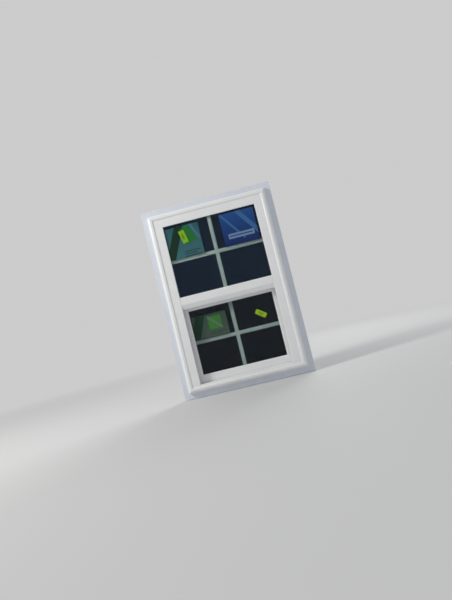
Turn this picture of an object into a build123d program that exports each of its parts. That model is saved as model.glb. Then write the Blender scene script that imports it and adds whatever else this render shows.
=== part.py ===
"""Single-hung sash window of hollow white vinyl sections, with its nail fin, J-channel trim and balances.

Millimetres. +Z is up, +X is to the right as seen from outside, and the outside faces -Y. The origin is the
centre of the window on the back of the nail fin, the plane that lies against the wall.
"""

from build123d import *
from math import cos, radians, sin, tan
import os

# Frame, outside sizes
FRAME_WIDTH = 609.6
FRAME_HEIGHT = 914.4
FACE_Y = -44.0
ROOM_Y = 38.6
WALL = 2.0
EDGE_ROUND = 1.0

# Frame sections, measured inward from the outer edge of the frame
JAMB_FACE = 68.0
SILL_FACE = 34.5
RIM_STEPS = 3
RIM_STEP_WIDTH = 4.0
RIM_STEP_RISE = 1.4
RIM_STEP_SLOPE = 2.2
STEP_ROUND = 0.6
RIM_ROUND = 1.2
BEAD_ROUND = 1.5
NOSE_ROUND = 2.5
BEAD_FLAT = 10.0
BEAD_SLOPE = 5.0
FLAT_SETBACK = 3.5
LIP_THICKNESS = 6.5
REBATE = 14.0
LEG_BACK_Y = -10.0
TRACK_WALL = 41.0
POCKET_WALL = 2.0
POCKET_DEPTH = 23.0
POCKET_Y0 = 4.0
POCKET_Y1 = 36.0
SLOT_WIDTH = 10.0
FIN_WIDTH = 27.0
FIN_THICKNESS = 1.6
NAIL_SLOT_LENGTH = 25.0
NAIL_SLOT_WIDTH = 4.0
NAIL_LINE = 15.0
NAIL_PITCH = 150.0

# J-channel trim
TRIM_FACE = 29.5
TRIM_SHEET = 1.2
TRIM_POCKET = 18.0
TRIM_HEM = 4.0
TRIM_FLANGE = 27.0

# Glazing
PANE = 3.0
GLASS_GAP = 10.0
GLASS_BITE = 12.0
SPACER_WIDTH = 7.0
GRILLE_WIDTH = 19.0
GRILLE_THICKNESS = 5.0
BLOCK_LENGTH = 60.0
BLOCK_INSET = 60.0
GRILLE_CHAMFER = 1.0
BEAD_LEAF = 3.0
BEAD_REACH = 13.0
BEAD_TIP = 1.5
BEAD_CROWN = 11.5
SASH_BEAD_REACH = 11.5
SASH_BEAD_TIP = 2.0
SASH_BEAD_CROWN = 3.0
GROOVE_DEPTH = 1.8
GROOVE_WIDTH = 1.4
GROOVE_INSET = 0.7
SNAP = 0.1

# Fixed meeting rail
RAIL_TOP = 22.0
RAIL_FLAT = 41.0
RAIL_FALL = 21.0
RAIL_FALL_DEPTH = 8.0
RAIL_RIBS = 3
RAIL_RIB = 1.9
RAIL_WEB = 4.0

# Lower sash
SASH_FACE = 43.5
SASH_GAP = 3.0
SASH_FRONT_Y = -4.0
SASH_BACK_Y = 28.0
SASH_BOTTOM = 31.4
RAIL_OVERLAP = 28.8
SASH_LEG = 6.0
SASH_BITE = 10.0
SASH_RIDGE = 1.0
RIDGE_WIDTH = 3.0
RIDGE_START = 28.0
RIDGE_PITCH = 7.0
SASH_POCKET = 12.0
SILL_GAP = 3.3
UPSTAND_RISE = 3.3
UPSTAND_GAP = 1.5
LIFT_REACH = 13.0
LIFT_THICKNESS = 2.5
LIFT_DROP = 5.5
SASH_TRAVEL = 360.0

# Balances
PIVOT_RISE = 13.0
PIVOT_INSET = 8.0
SHOE_HEIGHT = 40.0
SHOE_DROP = 16.0
SHOE_GAP = 0.5
SHOE_CHAMFER = 1.5
CAM_RADIUS = 8.0
CAM_CLEARANCE = 0.3
TONGUE_WIDTH = 8.0
TONGUE_THICKNESS = 4.0
TONGUE_CLEARANCE = 0.1
TONGUE_END_GAP = 0.5
PLATE_WIDTH = 12.0
PLATE_BELOW = 8.0
PLATE_ABOVE = 30.0
HOUSING_GAP = 2.0
HOUSING_HEIGHT = 80.0
HOUSING_WALL = 2.0
COIL_RADIUS = 12.5
COIL_TURNS_DEPTH = 6.0
COIL_GAP = 1.0
RIBBON_WIDTH = 12.0
RIBBON_THICKNESS = 0.6

# Catches
LOCK_SETBACK = 13.0
CAM_HUB = 6.0
CAM_LIP_IN = 17.7
CAM_LIP_OUT = 21.0
CAM_LIP_ANGLE = 40.0
CAM_PLATE = 2.2
CAM_HEIGHT = 9.0
LOCK_TURN = 115.0
LOCK_LENGTH = 62.0
LOCK_SHELL = 1.6
LOCK_FRONT_SETBACK = 0.5
LOCK_BACK_SETBACK = 1.0
LOCK_CHAMFER = 1.2
LOCK_ROOM = 0.4
LOCK_SCREW_SETBACK = 6.0
CAM_LIFT = 0.3
CAM_LIP_LIFT = 0.6
LEVER_LENGTH = 34.0
LEVER_HUB = 7.0
LEVER_REST = 90.0
LEVER_THICKNESS = 4.0
LEVER_WIDTH = 9.0
LEVER_ROUND = 2.0
LEVER_LIFT = 0.3
SHAFT_RADIUS = 3.0
RUNNING = 0.05
KEEPER_LENGTH = 44.0
KEEPER_PLATE = 2.0
KEEPER_WALL = 1.8
KEEPER_RISE = 6.3
KEEPER_CLEARANCE = 0.7
LATCH_LENGTH = 52.0
LATCH_WIDTH = 15.0
LATCH_HEIGHT = 8.0
LATCH_SHELL = 1.8
LATCH_TRAVEL = 8.0
LATCH_END_GAP = 1.0
LATCH_CHAMFER = 1.0
SLIDER_LENGTH = 39.5
SLIDER_GAP = 0.3
SLIDER_END_GAP = 0.5
BOLT_WIDTH = 8.5
BOLT_ROOM = 0.5
TAB_SETBACK = 25.5
TAB_LENGTH = 10.0
TAB_WIDTH = 6.0
TAB_RISE = 3.0
SCREW_RADIUS = 1.6
SCREW_HEAD_RADIUS = 2.6
SCREW_HEAD = 1.6
SCREW_LENGTH = 12.0
SCREW_MARGIN = 1.0
HEAD_CLEARANCE = 0.2

# Seals
SEAL_CLEARANCE = 0.3
SEAL_SLOT = 3.0
SEAL_SLOT_DEPTH = 1.5
SEAL_BLADE = 2.0

# Stickers on the glass, in shares of the light they are on: the centre across and up from its middle,
# the width and the height, all of its half width and half height, and the turn in degrees
STICKER = 0.25
UPPER_LABEL_LEFT = (-0.62, 0.48, 0.73, 0.88, 0.0)
UPPER_LABEL_RIGHT = (0.58, 0.49, 0.74, 0.9, 0.0)
UPPER_TAG = (-0.62, 0.61, 0.12, 0.36, 12.0)
LOWER_LABEL = (-0.57, 0.43, 0.82, 0.72, 0.0)
LOWER_TAG = (0.64, 0.42, 0.26, 0.15, -36.0)

# How far a cut or a buried end reaches past the face that it meets
PAST = 1.0

# Worked out from the sizes above
HALF_W = FRAME_WIDTH / 2
HALF_H = FRAME_HEIGHT / 2
FLAT_Y = FACE_Y + FLAT_SETBACK
LIP_BACK_Y = FLAT_Y + LIP_THICKNESS
RIM = RIM_STEPS * RIM_STEP_WIDTH
BEAD_END = RIM + BEAD_FLAT
FLAT_START = BEAD_END + BEAD_SLOPE
REBATE_WALL = JAMB_FACE - REBATE
UNIT = 2 * PANE + GLASS_GAP
UPPER_BACK_Y = LIP_BACK_Y + UNIT
OPEN_HALF = HALF_W - JAMB_FACE
OPEN_TOP = HALF_H - JAMB_FACE
RAIL_BOTTOM = RAIL_TOP - RAIL_FLAT - RAIL_FALL
TRACK_X = HALF_W - TRACK_WALL
SASH_HALF = TRACK_X - SASH_GAP
SASH_LOW = -HALF_H + SASH_BOTTOM
SASH_HIGH = RAIL_BOTTOM + RAIL_OVERLAP
SASH_HEIGHT = SASH_HIGH - SASH_LOW
SILL_FLOOR = SASH_BOTTOM - SILL_GAP
PIVOT_Y = SASH_BACK_Y - PIVOT_INSET
PIVOT_Z = SASH_LOW + PIVOT_RISE
POCKET_X0 = TRACK_X + POCKET_WALL
POCKET_X1 = POCKET_X0 + POCKET_DEPTH
TRIM_FRONT_Y = -FIN_THICKNESS - TRIM_SHEET - TRIM_POCKET - TRIM_SHEET
LOCK_Y = SASH_FRONT_Y + LOCK_SETBACK
LATCH_TIP = SASH_HALF - LATCH_END_GAP / 2
HOUSING_X0 = LATCH_TIP + LATCH_TRAVEL + BOLT_ROOM
HOUSING_LOW = PIVOT_Z - SHOE_DROP + SHOE_HEIGHT + SASH_TRAVEL + HOUSING_GAP
COIL_X = (HOUSING_X0 + POCKET_X1) / 2
COIL_Y = (POCKET_Y0 + POCKET_Y1) / 2
COIL_Z = HOUSING_LOW + HOUSING_HEIGHT - HOUSING_WALL - COIL_RADIUS - COIL_GAP
MARGIN = 2 * FIN_WIDTH + TRIM_FACE


def loop(corners):
    """Closed outline through (a, b) or (a, b, radius) corners, as a face."""
    points = [Vector(c[0], c[1]) for c in corners]
    count = len(points)
    starts, ends, arcs = [], [], []
    for i, corner in enumerate(corners):
        here = points[i]
        radius = corner[2] if len(corner) > 2 else 0.0
        if radius <= 0:
            starts.append(here)
            ends.append(here)
            arcs.append(None)
            continue
        back = (points[i - 1] - here).normalized()
        ahead = (points[(i + 1) % count] - here).normalized()
        half = radians(back.get_angle(ahead)) / 2
        middle = (back + ahead).normalized()
        starts.append(here + back * (radius / tan(half)))
        ends.append(here + ahead * (radius / tan(half)))
        arcs.append(here + middle * (radius / sin(half) - radius))
    edges = []
    for i in range(count):
        if arcs[i] is not None:
            edges.append(Edge.make_three_point_arc(starts[i], arcs[i], ends[i]))
        if (starts[(i + 1) % count] - ends[i]).length > 1e-6:
            edges.append(Edge.make_line(ends[i], starts[(i + 1) % count]))
    return make_face(edges)


def box(x0, x1, y0, y1, z0, z1):
    """Block between two corners."""
    size = (x1 - x0, y1 - y0, z1 - z0)
    return Pos((x0 + x1) / 2, (y0 + y1) / 2, (z0 + z1) / 2) * Box(*size)


def rod(x, y, z0, z1, radius):
    """Upright cylinder."""
    return Pos(x, y, (z0 + z1) / 2) * Cylinder(radius, z1 - z0)


def rod_x(x0, x1, y, z, radius):
    """Cylinder along X."""
    return Pos((x0 + x1) / 2, y, z) * Rot(0, 90, 0) * Cylinder(radius, x1 - x0)


def prism_y(corners, y0, y1):
    """Block along Y over an outline in X and Z."""
    plane = Plane(origin=(0, y0, 0), x_dir=(1, 0, 0), z_dir=(0, -1, 0))
    return extrude(plane * loop(corners), amount=-(y1 - y0))


def right_jamb_plane(z_top):
    """Section plane of a member on the right, with its first axis pointing inward."""
    return Plane(origin=(HALF_W, 0, z_top), x_dir=(-1, 0, 0), z_dir=(0, 0, -1))


def head_plane(edge_z, x_left):
    """Section plane of a member at the top, with its first axis pointing down."""
    return Plane(origin=(x_left, 0, edge_z), x_dir=(0, 0, -1), z_dir=(1, 0, 0))


def foot_plane(edge_z, x_right):
    """Section plane of a member at the bottom, with its first axis pointing up."""
    return Plane(origin=(x_right, 0, edge_z), x_dir=(0, 0, 1), z_dir=(-1, 0, 0))


def mitre(solid, x, z, to_x, to_z):
    """Keep the part of a member on the side of a mitre plane that (to_x, to_z) points to."""
    plane = Plane(origin=(x, 0, z), x_dir=(0, 1, 0), z_dir=(to_x, 0, to_z))
    return split(solid, bisect_by=plane, keep=Keep.TOP)


def mirrored(solid):
    """The same piece on the other side of the window."""
    return mirror(solid, about=Plane.YZ)


def fin_corners():
    """Corners of the room-side edge and the nail fin, alike all round the frame."""
    fin = [(0, 0), (-FIN_WIDTH, 0), (-FIN_WIDTH, -FIN_THICKNESS), (0, -FIN_THICKNESS)]
    return [(0, ROOM_Y, EDGE_ROUND), *fin]


def rim_corners():
    """Stepped fall, raised bead and flat of the frame's face, from the outer edge inward."""
    step = RIM_STEP_RISE + RIM_STEP_SLOPE
    corners = []
    for i in range(RIM_STEPS):
        edge = i * RIM_STEP_WIDTH
        y = FACE_Y + (RIM_STEPS - i) * step
        corners.append((edge, y))
        corners.append((edge, y - RIM_STEP_RISE, STEP_ROUND))
    corners.append((RIM, FACE_Y, RIM_ROUND))
    corners.append((BEAD_END, FACE_Y, BEAD_ROUND))
    corners.append((FLAT_START, FLAT_Y, BEAD_ROUND))
    return corners


def rim_chamber(end, back_y):
    """Hollow behind the rim, one wall inside it."""
    low = FACE_Y + RIM_STEPS * (RIM_STEP_RISE + RIM_STEP_SLOPE)
    return loop([
        (WALL, back_y),
        (WALL, low),
        (RIM + WALL / 2, FACE_Y + WALL),
        (BEAD_END - WALL / 2, FACE_Y + WALL),
        (FLAT_START - WALL / 2, FLAT_Y + WALL),
        (end, FLAT_Y + WALL),
        (end, back_y),
    ])


def slab(a0, a1, b0, b1):
    """Rectangle in a section's own axes."""
    return loop([(a0, b0), (a1, b0), (a1, b1), (a0, b1)])


def groove(a, y0):
    """Snap groove of a glazing bead, cut into a rebate wall whose surface is at a."""
    return slab(a - GROOVE_DEPTH, a + 0.01, y0, y0 + GROOVE_WIDTH)


def jamb_section(slotted):
    """Section of the head and jambs: nail fin, rim, glazing rebate and sash track."""
    outer = fin_corners() + rim_corners()
    outer += [
        (JAMB_FACE, FLAT_Y, NOSE_ROUND),
        (JAMB_FACE, LIP_BACK_Y),
        (REBATE_WALL, LIP_BACK_Y),
        (REBATE_WALL, LEG_BACK_Y),
        (TRACK_WALL, LEG_BACK_Y),
        (TRACK_WALL, ROOM_Y, EDGE_ROUND),
    ]
    web = FLAT_START + WALL / 2
    inner_web = REBATE_WALL - GROOVE_DEPTH - WALL
    nose = loop([
        (web + WALL / 2, LEG_BACK_Y - WALL),
        (inner_web, LEG_BACK_Y - WALL),
        (inner_web, LIP_BACK_Y - WALL),
        (JAMB_FACE - 2 * WALL, LIP_BACK_Y - WALL),
        (JAMB_FACE - 2 * WALL, FLAT_Y + WALL),
        (web + WALL / 2, FLAT_Y + WALL),
    ])
    pocket_start = TRACK_WALL - POCKET_WALL - POCKET_DEPTH
    pocket_end = TRACK_WALL - POCKET_WALL
    section = loop(outer) - nose
    section -= rim_chamber(web - WALL / 2, LEG_BACK_Y - WALL)
    section -= slab(WALL, pocket_start - WALL, LEG_BACK_Y, ROOM_Y - WALL)
    section -= slab(pocket_start, pocket_end, LEG_BACK_Y, POCKET_Y0 - WALL)
    section -= slab(pocket_start, pocket_end, POCKET_Y0, POCKET_Y1)
    section -= groove(REBATE_WALL, UPPER_BACK_Y + GROOVE_INSET)
    if slotted:
        half = SLOT_WIDTH / 2
        section -= slab(pocket_end - PAST, TRACK_WALL + PAST, PIVOT_Y - half, PIVOT_Y + half)
    return section


def sill_section():
    """Section of the sill: the same rim, a nose that sheds water, the sash seat and a room-side upstand."""
    upstand_y = SASH_BACK_Y + UPSTAND_GAP
    upstand = SASH_BOTTOM + UPSTAND_RISE
    outer = fin_corners() + rim_corners()
    outer += [
        (SILL_FACE, FLAT_Y, NOSE_ROUND),
        (SILL_FACE, LEG_BACK_Y, EDGE_ROUND),
        (SILL_FLOOR, LEG_BACK_Y),
        (SILL_FLOOR, upstand_y),
        (upstand, upstand_y, EDGE_ROUND),
        (upstand, ROOM_Y, EDGE_ROUND),
    ]
    front = loop([
        (WALL, LEG_BACK_Y - WALL),
        (WALL, FACE_Y + RIM_STEPS * (RIM_STEP_RISE + RIM_STEP_SLOPE)),
        (RIM + WALL / 2, FACE_Y + WALL),
        (BEAD_END - WALL / 2, FACE_Y + WALL),
        (FLAT_START - WALL / 2, FLAT_Y + WALL),
        (SILL_FACE - WALL, FLAT_Y + WALL),
        (SILL_FACE - WALL, LEG_BACK_Y - WALL),
    ])
    middle = (LEG_BACK_Y + upstand_y) / 2
    section = loop(outer) - front
    section -= slab(WALL, SILL_FLOOR - WALL, LEG_BACK_Y, middle - WALL / 2)
    section -= slab(WALL, SILL_FLOOR - WALL, middle + WALL / 2, upstand_y)
    section -= slab(WALL, upstand - WALL, upstand_y + WALL, ROOM_Y - WALL)
    return section


def nail_slot(x, z, along_x):
    """Rounded slot through a fin and the trim flange on it."""
    flat = SlotOverall(NAIL_SLOT_LENGTH, NAIL_SLOT_WIDTH, rotation=0 if along_x else 90)
    plane = Plane(origin=(x, FIN_THICKNESS, z), x_dir=(1, 0, 0), z_dir=(0, -1, 0))
    return extrude(plane * flat, amount=2 * FIN_THICKNESS + 2 * TRIM_SHEET + PAST)


def spread(length, pitch):
    """Evenly spaced places about zero, as many as the length holds."""
    count = int(length // pitch)
    return [(i - (count - 1) / 2) * pitch for i in range(count)]


def jamb_nail_slots():
    """Slots of the right-hand fin, all in one body to cut with."""
    line = HALF_W + NAIL_LINE
    return [nail_slot(line, z, False) for z in spread(FRAME_HEIGHT, NAIL_PITCH)]


def head_nail_slots(z):
    """Slots of the head or sill fin."""
    return [nail_slot(x, z, True) for x in spread(FRAME_WIDTH, NAIL_PITCH)]


def frame_head():
    """Head extrusion, mitred to both jambs."""
    bar = extrude(head_plane(HALF_H, -HALF_W - MARGIN) * jamb_section(False), amount=FRAME_WIDTH + 2 * MARGIN)
    bar = mitre(bar, HALF_W, HALF_H, -1, 1)
    bar = mitre(bar, -HALF_W, HALF_H, 1, 1)
    return bar - head_nail_slots(HALF_H + NAIL_LINE)


def frame_jamb():
    """Right-hand jamb, mitred to the head, and to the sill's rim at the bottom."""
    length = FRAME_HEIGHT + MARGIN
    bar = extrude(right_jamb_plane(HALF_H + MARGIN / 2) * jamb_section(True), amount=length)
    bar = mitre(bar, HALF_W, HALF_H, 1, -1)
    far = HALF_W + MARGIN
    low = -HALF_H - MARGIN
    seat_x, seat_z = HALF_W - SILL_FACE, -HALF_H + SILL_FACE
    nose_cut = [(far, low), (seat_x, seat_z), (0, seat_z), (0, low)]
    rear_cut = [(far, low), (HALF_W, -HALF_H), (0, -HALF_H), (0, low)]
    bar -= prism_y(nose_cut, FACE_Y - PAST, LEG_BACK_Y)
    bar -= prism_y(rear_cut, LEG_BACK_Y, ROOM_Y + PAST)
    return bar - jamb_nail_slots()


def frame_sill():
    """Sill extrusion: its rim is mitred to the jambs, and its seat is coped between their tracks."""
    bar = extrude(foot_plane(-HALF_H, HALF_W + MARGIN) * sill_section(), amount=FRAME_WIDTH + 2 * MARGIN)
    far = HALF_W + MARGIN
    low = -HALF_H - MARGIN
    nose_cut = [(far, low), (0, -HALF_H + HALF_W), (far, -HALF_H + HALF_W)]
    rear_cut = [(far, low), (HALF_W, -HALF_H), (TRACK_X, -HALF_H), (TRACK_X, 0), (far, 0)]
    for cut in (prism_y(nose_cut, FACE_Y - PAST, LEG_BACK_Y), prism_y(rear_cut, LEG_BACK_Y, ROOM_Y + PAST)):
        bar = bar - cut - mirrored(cut)
    return bar - head_nail_slots(-HALF_H - NAIL_LINE)


def meeting_rail():
    """Fixed rail across the middle: it holds the upper glass and closes against the sash behind it."""
    height = RAIL_FLAT + RAIL_FALL
    fall_y = FLAT_Y + RAIL_FALL_DEPTH
    rib = RAIL_FALL / RAIL_RIBS
    slope = RAIL_FALL_DEPTH / RAIL_RIBS - RAIL_RIB
    ribs = []
    for i in range(RAIL_RIBS):
        y = fall_y - i * (slope + RAIL_RIB)
        ribs += [(i * rib, y), ((i + 1) * rib, y - slope)]
    floor = height - REBATE
    ledge = RAIL_OVERLAP
    ledge_y = UPPER_BACK_Y + BEAD_LEAF
    section = loop(ribs + [
        (RAIL_FALL, FLAT_Y, STEP_ROUND),
        (height, FLAT_Y, NOSE_ROUND),
        (height, LIP_BACK_Y),
        (floor, LIP_BACK_Y),
        (floor, ledge_y),
        (ledge, ledge_y),
        (ledge, LEG_BACK_Y),
        (0, LEG_BACK_Y),
    ])
    section -= loop([
        (WALL, LEG_BACK_Y - SEAL_SLOT_DEPTH - WALL),
        (WALL, fall_y + WALL),
        (RAIL_FALL, FLAT_Y + 2 * WALL),
        (ledge - WALL, FLAT_Y + WALL),
        (ledge - WALL, LEG_BACK_Y - SEAL_SLOT_DEPTH - WALL),
    ])
    section -= slab(ledge, floor - RAIL_WEB, FLAT_Y + WALL, ledge_y - WALL)
    section -= slab(ledge / 2 - SEAL_SLOT / 2, ledge / 2 + SEAL_SLOT / 2, LEG_BACK_Y - SEAL_SLOT_DEPTH, 0)
    section -= groove(floor, UPPER_BACK_Y + GROOVE_INSET)
    end = HALF_W - REBATE_WALL
    bar = extrude(foot_plane(RAIL_BOTTOM, end) * section, amount=2 * end)
    notch = box(OPEN_HALF, end + PAST, FACE_Y, LIP_BACK_Y, RAIL_BOTTOM - PAST, RAIL_TOP + PAST)
    bar = bar - notch - mirrored(notch)
    low = SASH_HIGH - SCREW_LENGTH
    return bar - [rod(x, y, low, SASH_HIGH, SCREW_RADIUS) for x, y in keeper_screw_places()]


def rail_seal():
    """Pile strip in the back of the meeting rail, just clear of the sash in front of it."""
    middle = RAIL_BOTTOM + RAIL_OVERLAP / 2
    tip = SASH_FRONT_Y - SASH_RIDGE - SEAL_CLEARANCE
    low, high = middle - SEAL_SLOT / 2, middle + SEAL_SLOT / 2
    return box(-OPEN_HALF, OPEN_HALF, LEG_BACK_Y - SEAL_SLOT_DEPTH, tip, low, high)


def trim_section():
    """J-channel: nailing flange, base against the frame, face and turned hem."""
    back = -FIN_THICKNESS
    return loop([
        (0, back),
        (TRIM_FLANGE, back),
        (TRIM_FLANGE, back - TRIM_SHEET),
        (TRIM_SHEET, back - TRIM_SHEET),
        (TRIM_SHEET, TRIM_FRONT_Y + TRIM_SHEET),
        (TRIM_FACE - TRIM_SHEET, TRIM_FRONT_Y + TRIM_SHEET),
        (TRIM_FACE - TRIM_SHEET, TRIM_FRONT_Y + TRIM_HEM),
        (TRIM_FACE, TRIM_FRONT_Y + TRIM_HEM),
        (TRIM_FACE, TRIM_FRONT_Y, EDGE_ROUND),
        (0, TRIM_FRONT_Y, STEP_ROUND),
    ])


def trim_side():
    """Right-hand J-channel, standing on the sill's and mitred at the head."""
    plane = Plane(origin=(HALF_W, 0, -HALF_H), x_dir=(1, 0, 0), z_dir=(0, 0, 1))
    bar = extrude(plane * trim_section(), amount=FRAME_HEIGHT + MARGIN)
    return mitre(bar, HALF_W, HALF_H, 1, -1) - jamb_nail_slots()


def trim_head():
    """Head J-channel, mitred to both sides."""
    plane = Plane(origin=(HALF_W + MARGIN, 0, HALF_H), x_dir=(0, 0, 1), z_dir=(-1, 0, 0))
    bar = extrude(plane * trim_section(), amount=FRAME_WIDTH + 2 * MARGIN)
    bar = mitre(mitre(bar, HALF_W, HALF_H, -1, 1), -HALF_W, HALF_H, 1, 1)
    return bar - head_nail_slots(HALF_H + NAIL_LINE)


def trim_sill():
    """Sill J-channel, run right across under the side ones."""
    end = HALF_W + TRIM_FACE
    plane = Plane(origin=(-end, 0, -HALF_H), x_dir=(0, 0, -1), z_dir=(1, 0, 0))
    bar = extrude(plane * trim_section(), amount=2 * end)
    return bar - head_nail_slots(-HALF_H - NAIL_LINE)


class Light:
    """One sealed glass unit: its sight size, its edges and where its outer face lies."""

    def __init__(self, half, low, high, bite, front_y, seat):
        self.half, self.low, self.high = half, low, high
        self.bite, self.front_y, self.seat = bite, front_y, seat
        self.edge = half + bite
        self.foot, self.top = low - bite, high + bite
        self.back_y = front_y + UNIT

    def pane(self, outer):
        """One sheet of glass."""
        y = self.front_y if outer else self.back_y - PANE
        return box(-self.edge, self.edge, y, y + PANE, self.foot, self.top)

    def spacer(self):
        """Hollow spacer ring round the gap."""
        inset = (self.bite - SPACER_WIDTH) / 2
        y0, y1 = self.front_y + PANE, self.back_y - PANE
        ring = box(inset - self.edge, self.edge - inset, y0, y1, self.foot + inset, self.top - inset)
        inset += SPACER_WIDTH
        return ring - box(inset - self.edge, self.edge - inset, y0, y1, self.foot + inset, self.top - inset)

    def grille(self):
        """Flat bars in the gap that divide the light in four, ended on the spacer."""
        inset = (self.bite - SPACER_WIDTH) / 2 + SPACER_WIDTH
        middle_y = (self.front_y + self.back_y) / 2
        y0, y1 = middle_y - GRILLE_THICKNESS / 2, middle_y + GRILLE_THICKNESS / 2
        z = (self.low + self.high) / 2
        half = GRILLE_WIDTH / 2
        across = box(inset - self.edge, self.edge - inset, y0, y1, z - half, z + half)
        upright = box(-half, half, y0, y1, self.foot + inset, self.top - inset)
        bars = across + upright
        long_edges = bars.edges().filter_by(lambda e: abs(e.center().Y - middle_y) > GRILLE_THICKNESS / 4)
        return chamfer(long_edges.filter_by(lambda e: e.length > 2 * GRILLE_WIDTH), GRILLE_CHAMFER)

    def blocks(self):
        """Two setting blocks that the unit stands on."""
        x = self.half - BLOCK_INSET
        block = box(x - BLOCK_LENGTH, x, self.front_y, self.back_y, self.foot - self.seat, self.foot)
        return Compound([block.solid(), mirrored(block).solid()])

    def beads(self, reach, thickness, tip, crown):
        """Glazing beads on the room side, snapped into the rebate and mitred: foot, head, right, left."""
        y = self.back_y
        section = Pos(0, y) * loop([
            (0, 0),
            (reach, 0),
            (reach, tip),
            (crown, thickness),
            (0, thickness),
            (0, GROOVE_INSET + GROOVE_WIDTH - SNAP),
            (SNAP - GROOVE_DEPTH, GROOVE_INSET + GROOVE_WIDTH - SNAP),
            (SNAP - GROOVE_DEPTH, GROOVE_INSET + SNAP),
            (0, GROOVE_INSET + SNAP),
        ])
        wall_x = self.edge + self.seat
        low, high = self.foot - self.seat, self.top + self.seat
        far = wall_x + GROOVE_DEPTH
        foot = extrude(foot_plane(low, far) * section, amount=2 * far)
        foot = mitre(mitre(foot, wall_x, low, -1, -1), -wall_x, low, 1, -1)
        head = extrude(head_plane(high, -far) * section, amount=2 * far)
        head = mitre(mitre(head, wall_x, high, -1, 1), -wall_x, high, 1, 1)
        plane = Plane(origin=(wall_x, 0, high + GROOVE_DEPTH), x_dir=(-1, 0, 0), z_dir=(0, 0, -1))
        side = extrude(plane * section, amount=high - low + 2 * GROOVE_DEPTH)
        side = mitre(mitre(side, wall_x, high, 1, -1), wall_x, low, 1, 1)
        return foot, head, side, mirrored(side)


UPPER = Light(OPEN_HALF, RAIL_TOP, OPEN_TOP, GLASS_BITE, LIP_BACK_Y, REBATE - GLASS_BITE)
LOWER = Light(
    SASH_HALF - SASH_FACE,
    SASH_LOW + SASH_FACE,
    SASH_HIGH - SASH_FACE,
    SASH_BITE,
    SASH_FRONT_Y + SASH_LEG,
    SASH_POCKET - SASH_BITE,
)
SASH_BEAD = SASH_BACK_Y - WALL - LOWER.back_y - SEAL_CLEARANCE


def sash_section(seal=False, lift=False):
    """Section of a sash member from its outer edge in: ridged face, glass leg, chambers and bead groove."""
    wall = SASH_FACE - SASH_POCKET
    glass_y = SASH_FRONT_Y + SASH_LEG
    outer = [(0, SASH_BACK_Y, EDGE_ROUND), (0, SASH_FRONT_Y, EDGE_ROUND)]
    for start in (RIDGE_START, RIDGE_START + RIDGE_PITCH):
        outer += [
            (start, SASH_FRONT_Y),
            (start + RIDGE_WIDTH / 4, SASH_FRONT_Y - SASH_RIDGE),
            (start + RIDGE_WIDTH * 3 / 4, SASH_FRONT_Y - SASH_RIDGE),
            (start + RIDGE_WIDTH, SASH_FRONT_Y),
        ]
    outer += [(SASH_FACE - WALL, SASH_FRONT_Y), (SASH_FACE, SASH_FRONT_Y + WALL, STEP_ROUND)]
    outer += [(SASH_FACE, glass_y), (wall, glass_y)]
    if lift:
        tip_y = SASH_BACK_Y + LIFT_REACH
        outer += [
            (wall, SASH_BACK_Y - WALL),
            (SASH_FACE - LIFT_THICKNESS / 2, SASH_BACK_Y - WALL),
            (SASH_FACE, SASH_BACK_Y),
            (SASH_FACE, tip_y, BEAD_ROUND),
            (SASH_FACE - LIFT_THICKNESS - LIFT_DROP, tip_y),
            (SASH_FACE - LIFT_THICKNESS - LIFT_DROP, tip_y - LIFT_THICKNESS),
            (SASH_FACE - LIFT_THICKNESS, tip_y - LIFT_THICKNESS),
            (SASH_FACE - LIFT_THICKNESS, SASH_BACK_Y, BEAD_ROUND),
        ]
    else:
        outer.append((wall, SASH_BACK_Y, STEP_ROUND))
    front = SASH_FRONT_Y + SEAL_SLOT_DEPTH + WALL
    middle = (front + SASH_BACK_Y - WALL) / 2
    inner = wall - GROOVE_DEPTH - WALL
    section = loop(outer) - slab(SEAL_SLOT_DEPTH + WALL, inner, front, middle - WALL / 2)
    section -= slab(WALL, inner, middle + WALL / 2, SASH_BACK_Y - WALL)
    section -= groove(wall, LOWER.back_y + GROOVE_INSET)
    if seal:
        start = SEAL_SLOT + WALL
        section -= slab(start, start + SEAL_SLOT, SASH_FRONT_Y - PAST, SASH_FRONT_Y + SEAL_SLOT_DEPTH)
    if lift:
        section -= slab(-1, SEAL_SLOT_DEPTH, SASH_FRONT_Y + WALL, SASH_FRONT_Y + WALL + SEAL_BLADE)
    return section


def sash_stile():
    """Right-hand stile of the sash."""
    plane = Plane(origin=(SASH_HALF, 0, SASH_HIGH), x_dir=(-1, 0, 0), z_dir=(0, 0, -1))
    bar = extrude(plane * sash_section(seal=True), amount=SASH_HEIGHT)
    return mitre(mitre(bar, SASH_HALF, SASH_HIGH, 1, -1), SASH_HALF, SASH_LOW, 1, 1)


def sash_top_rail():
    """Top rail of the sash."""
    bar = extrude(head_plane(SASH_HIGH, -SASH_HALF) * sash_section(), amount=2 * SASH_HALF)
    bar = mitre(mitre(bar, SASH_HALF, SASH_HIGH, -1, 1), -SASH_HALF, SASH_HIGH, 1, 1)
    places = lock_screw_places() + latch_screw_places()
    return bar - [rod(x, y, SASH_HIGH - SCREW_LENGTH, SASH_HIGH, SCREW_RADIUS) for x, y in places]


def sash_bottom_rail():
    """Bottom rail of the sash, with the lift lip that the hands take."""
    bar = extrude(foot_plane(SASH_LOW, SASH_HALF) * sash_section(lift=True), amount=2 * SASH_HALF)
    return mitre(mitre(bar, SASH_HALF, SASH_LOW, -1, -1), -SASH_HALF, SASH_LOW, 1, -1)


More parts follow.
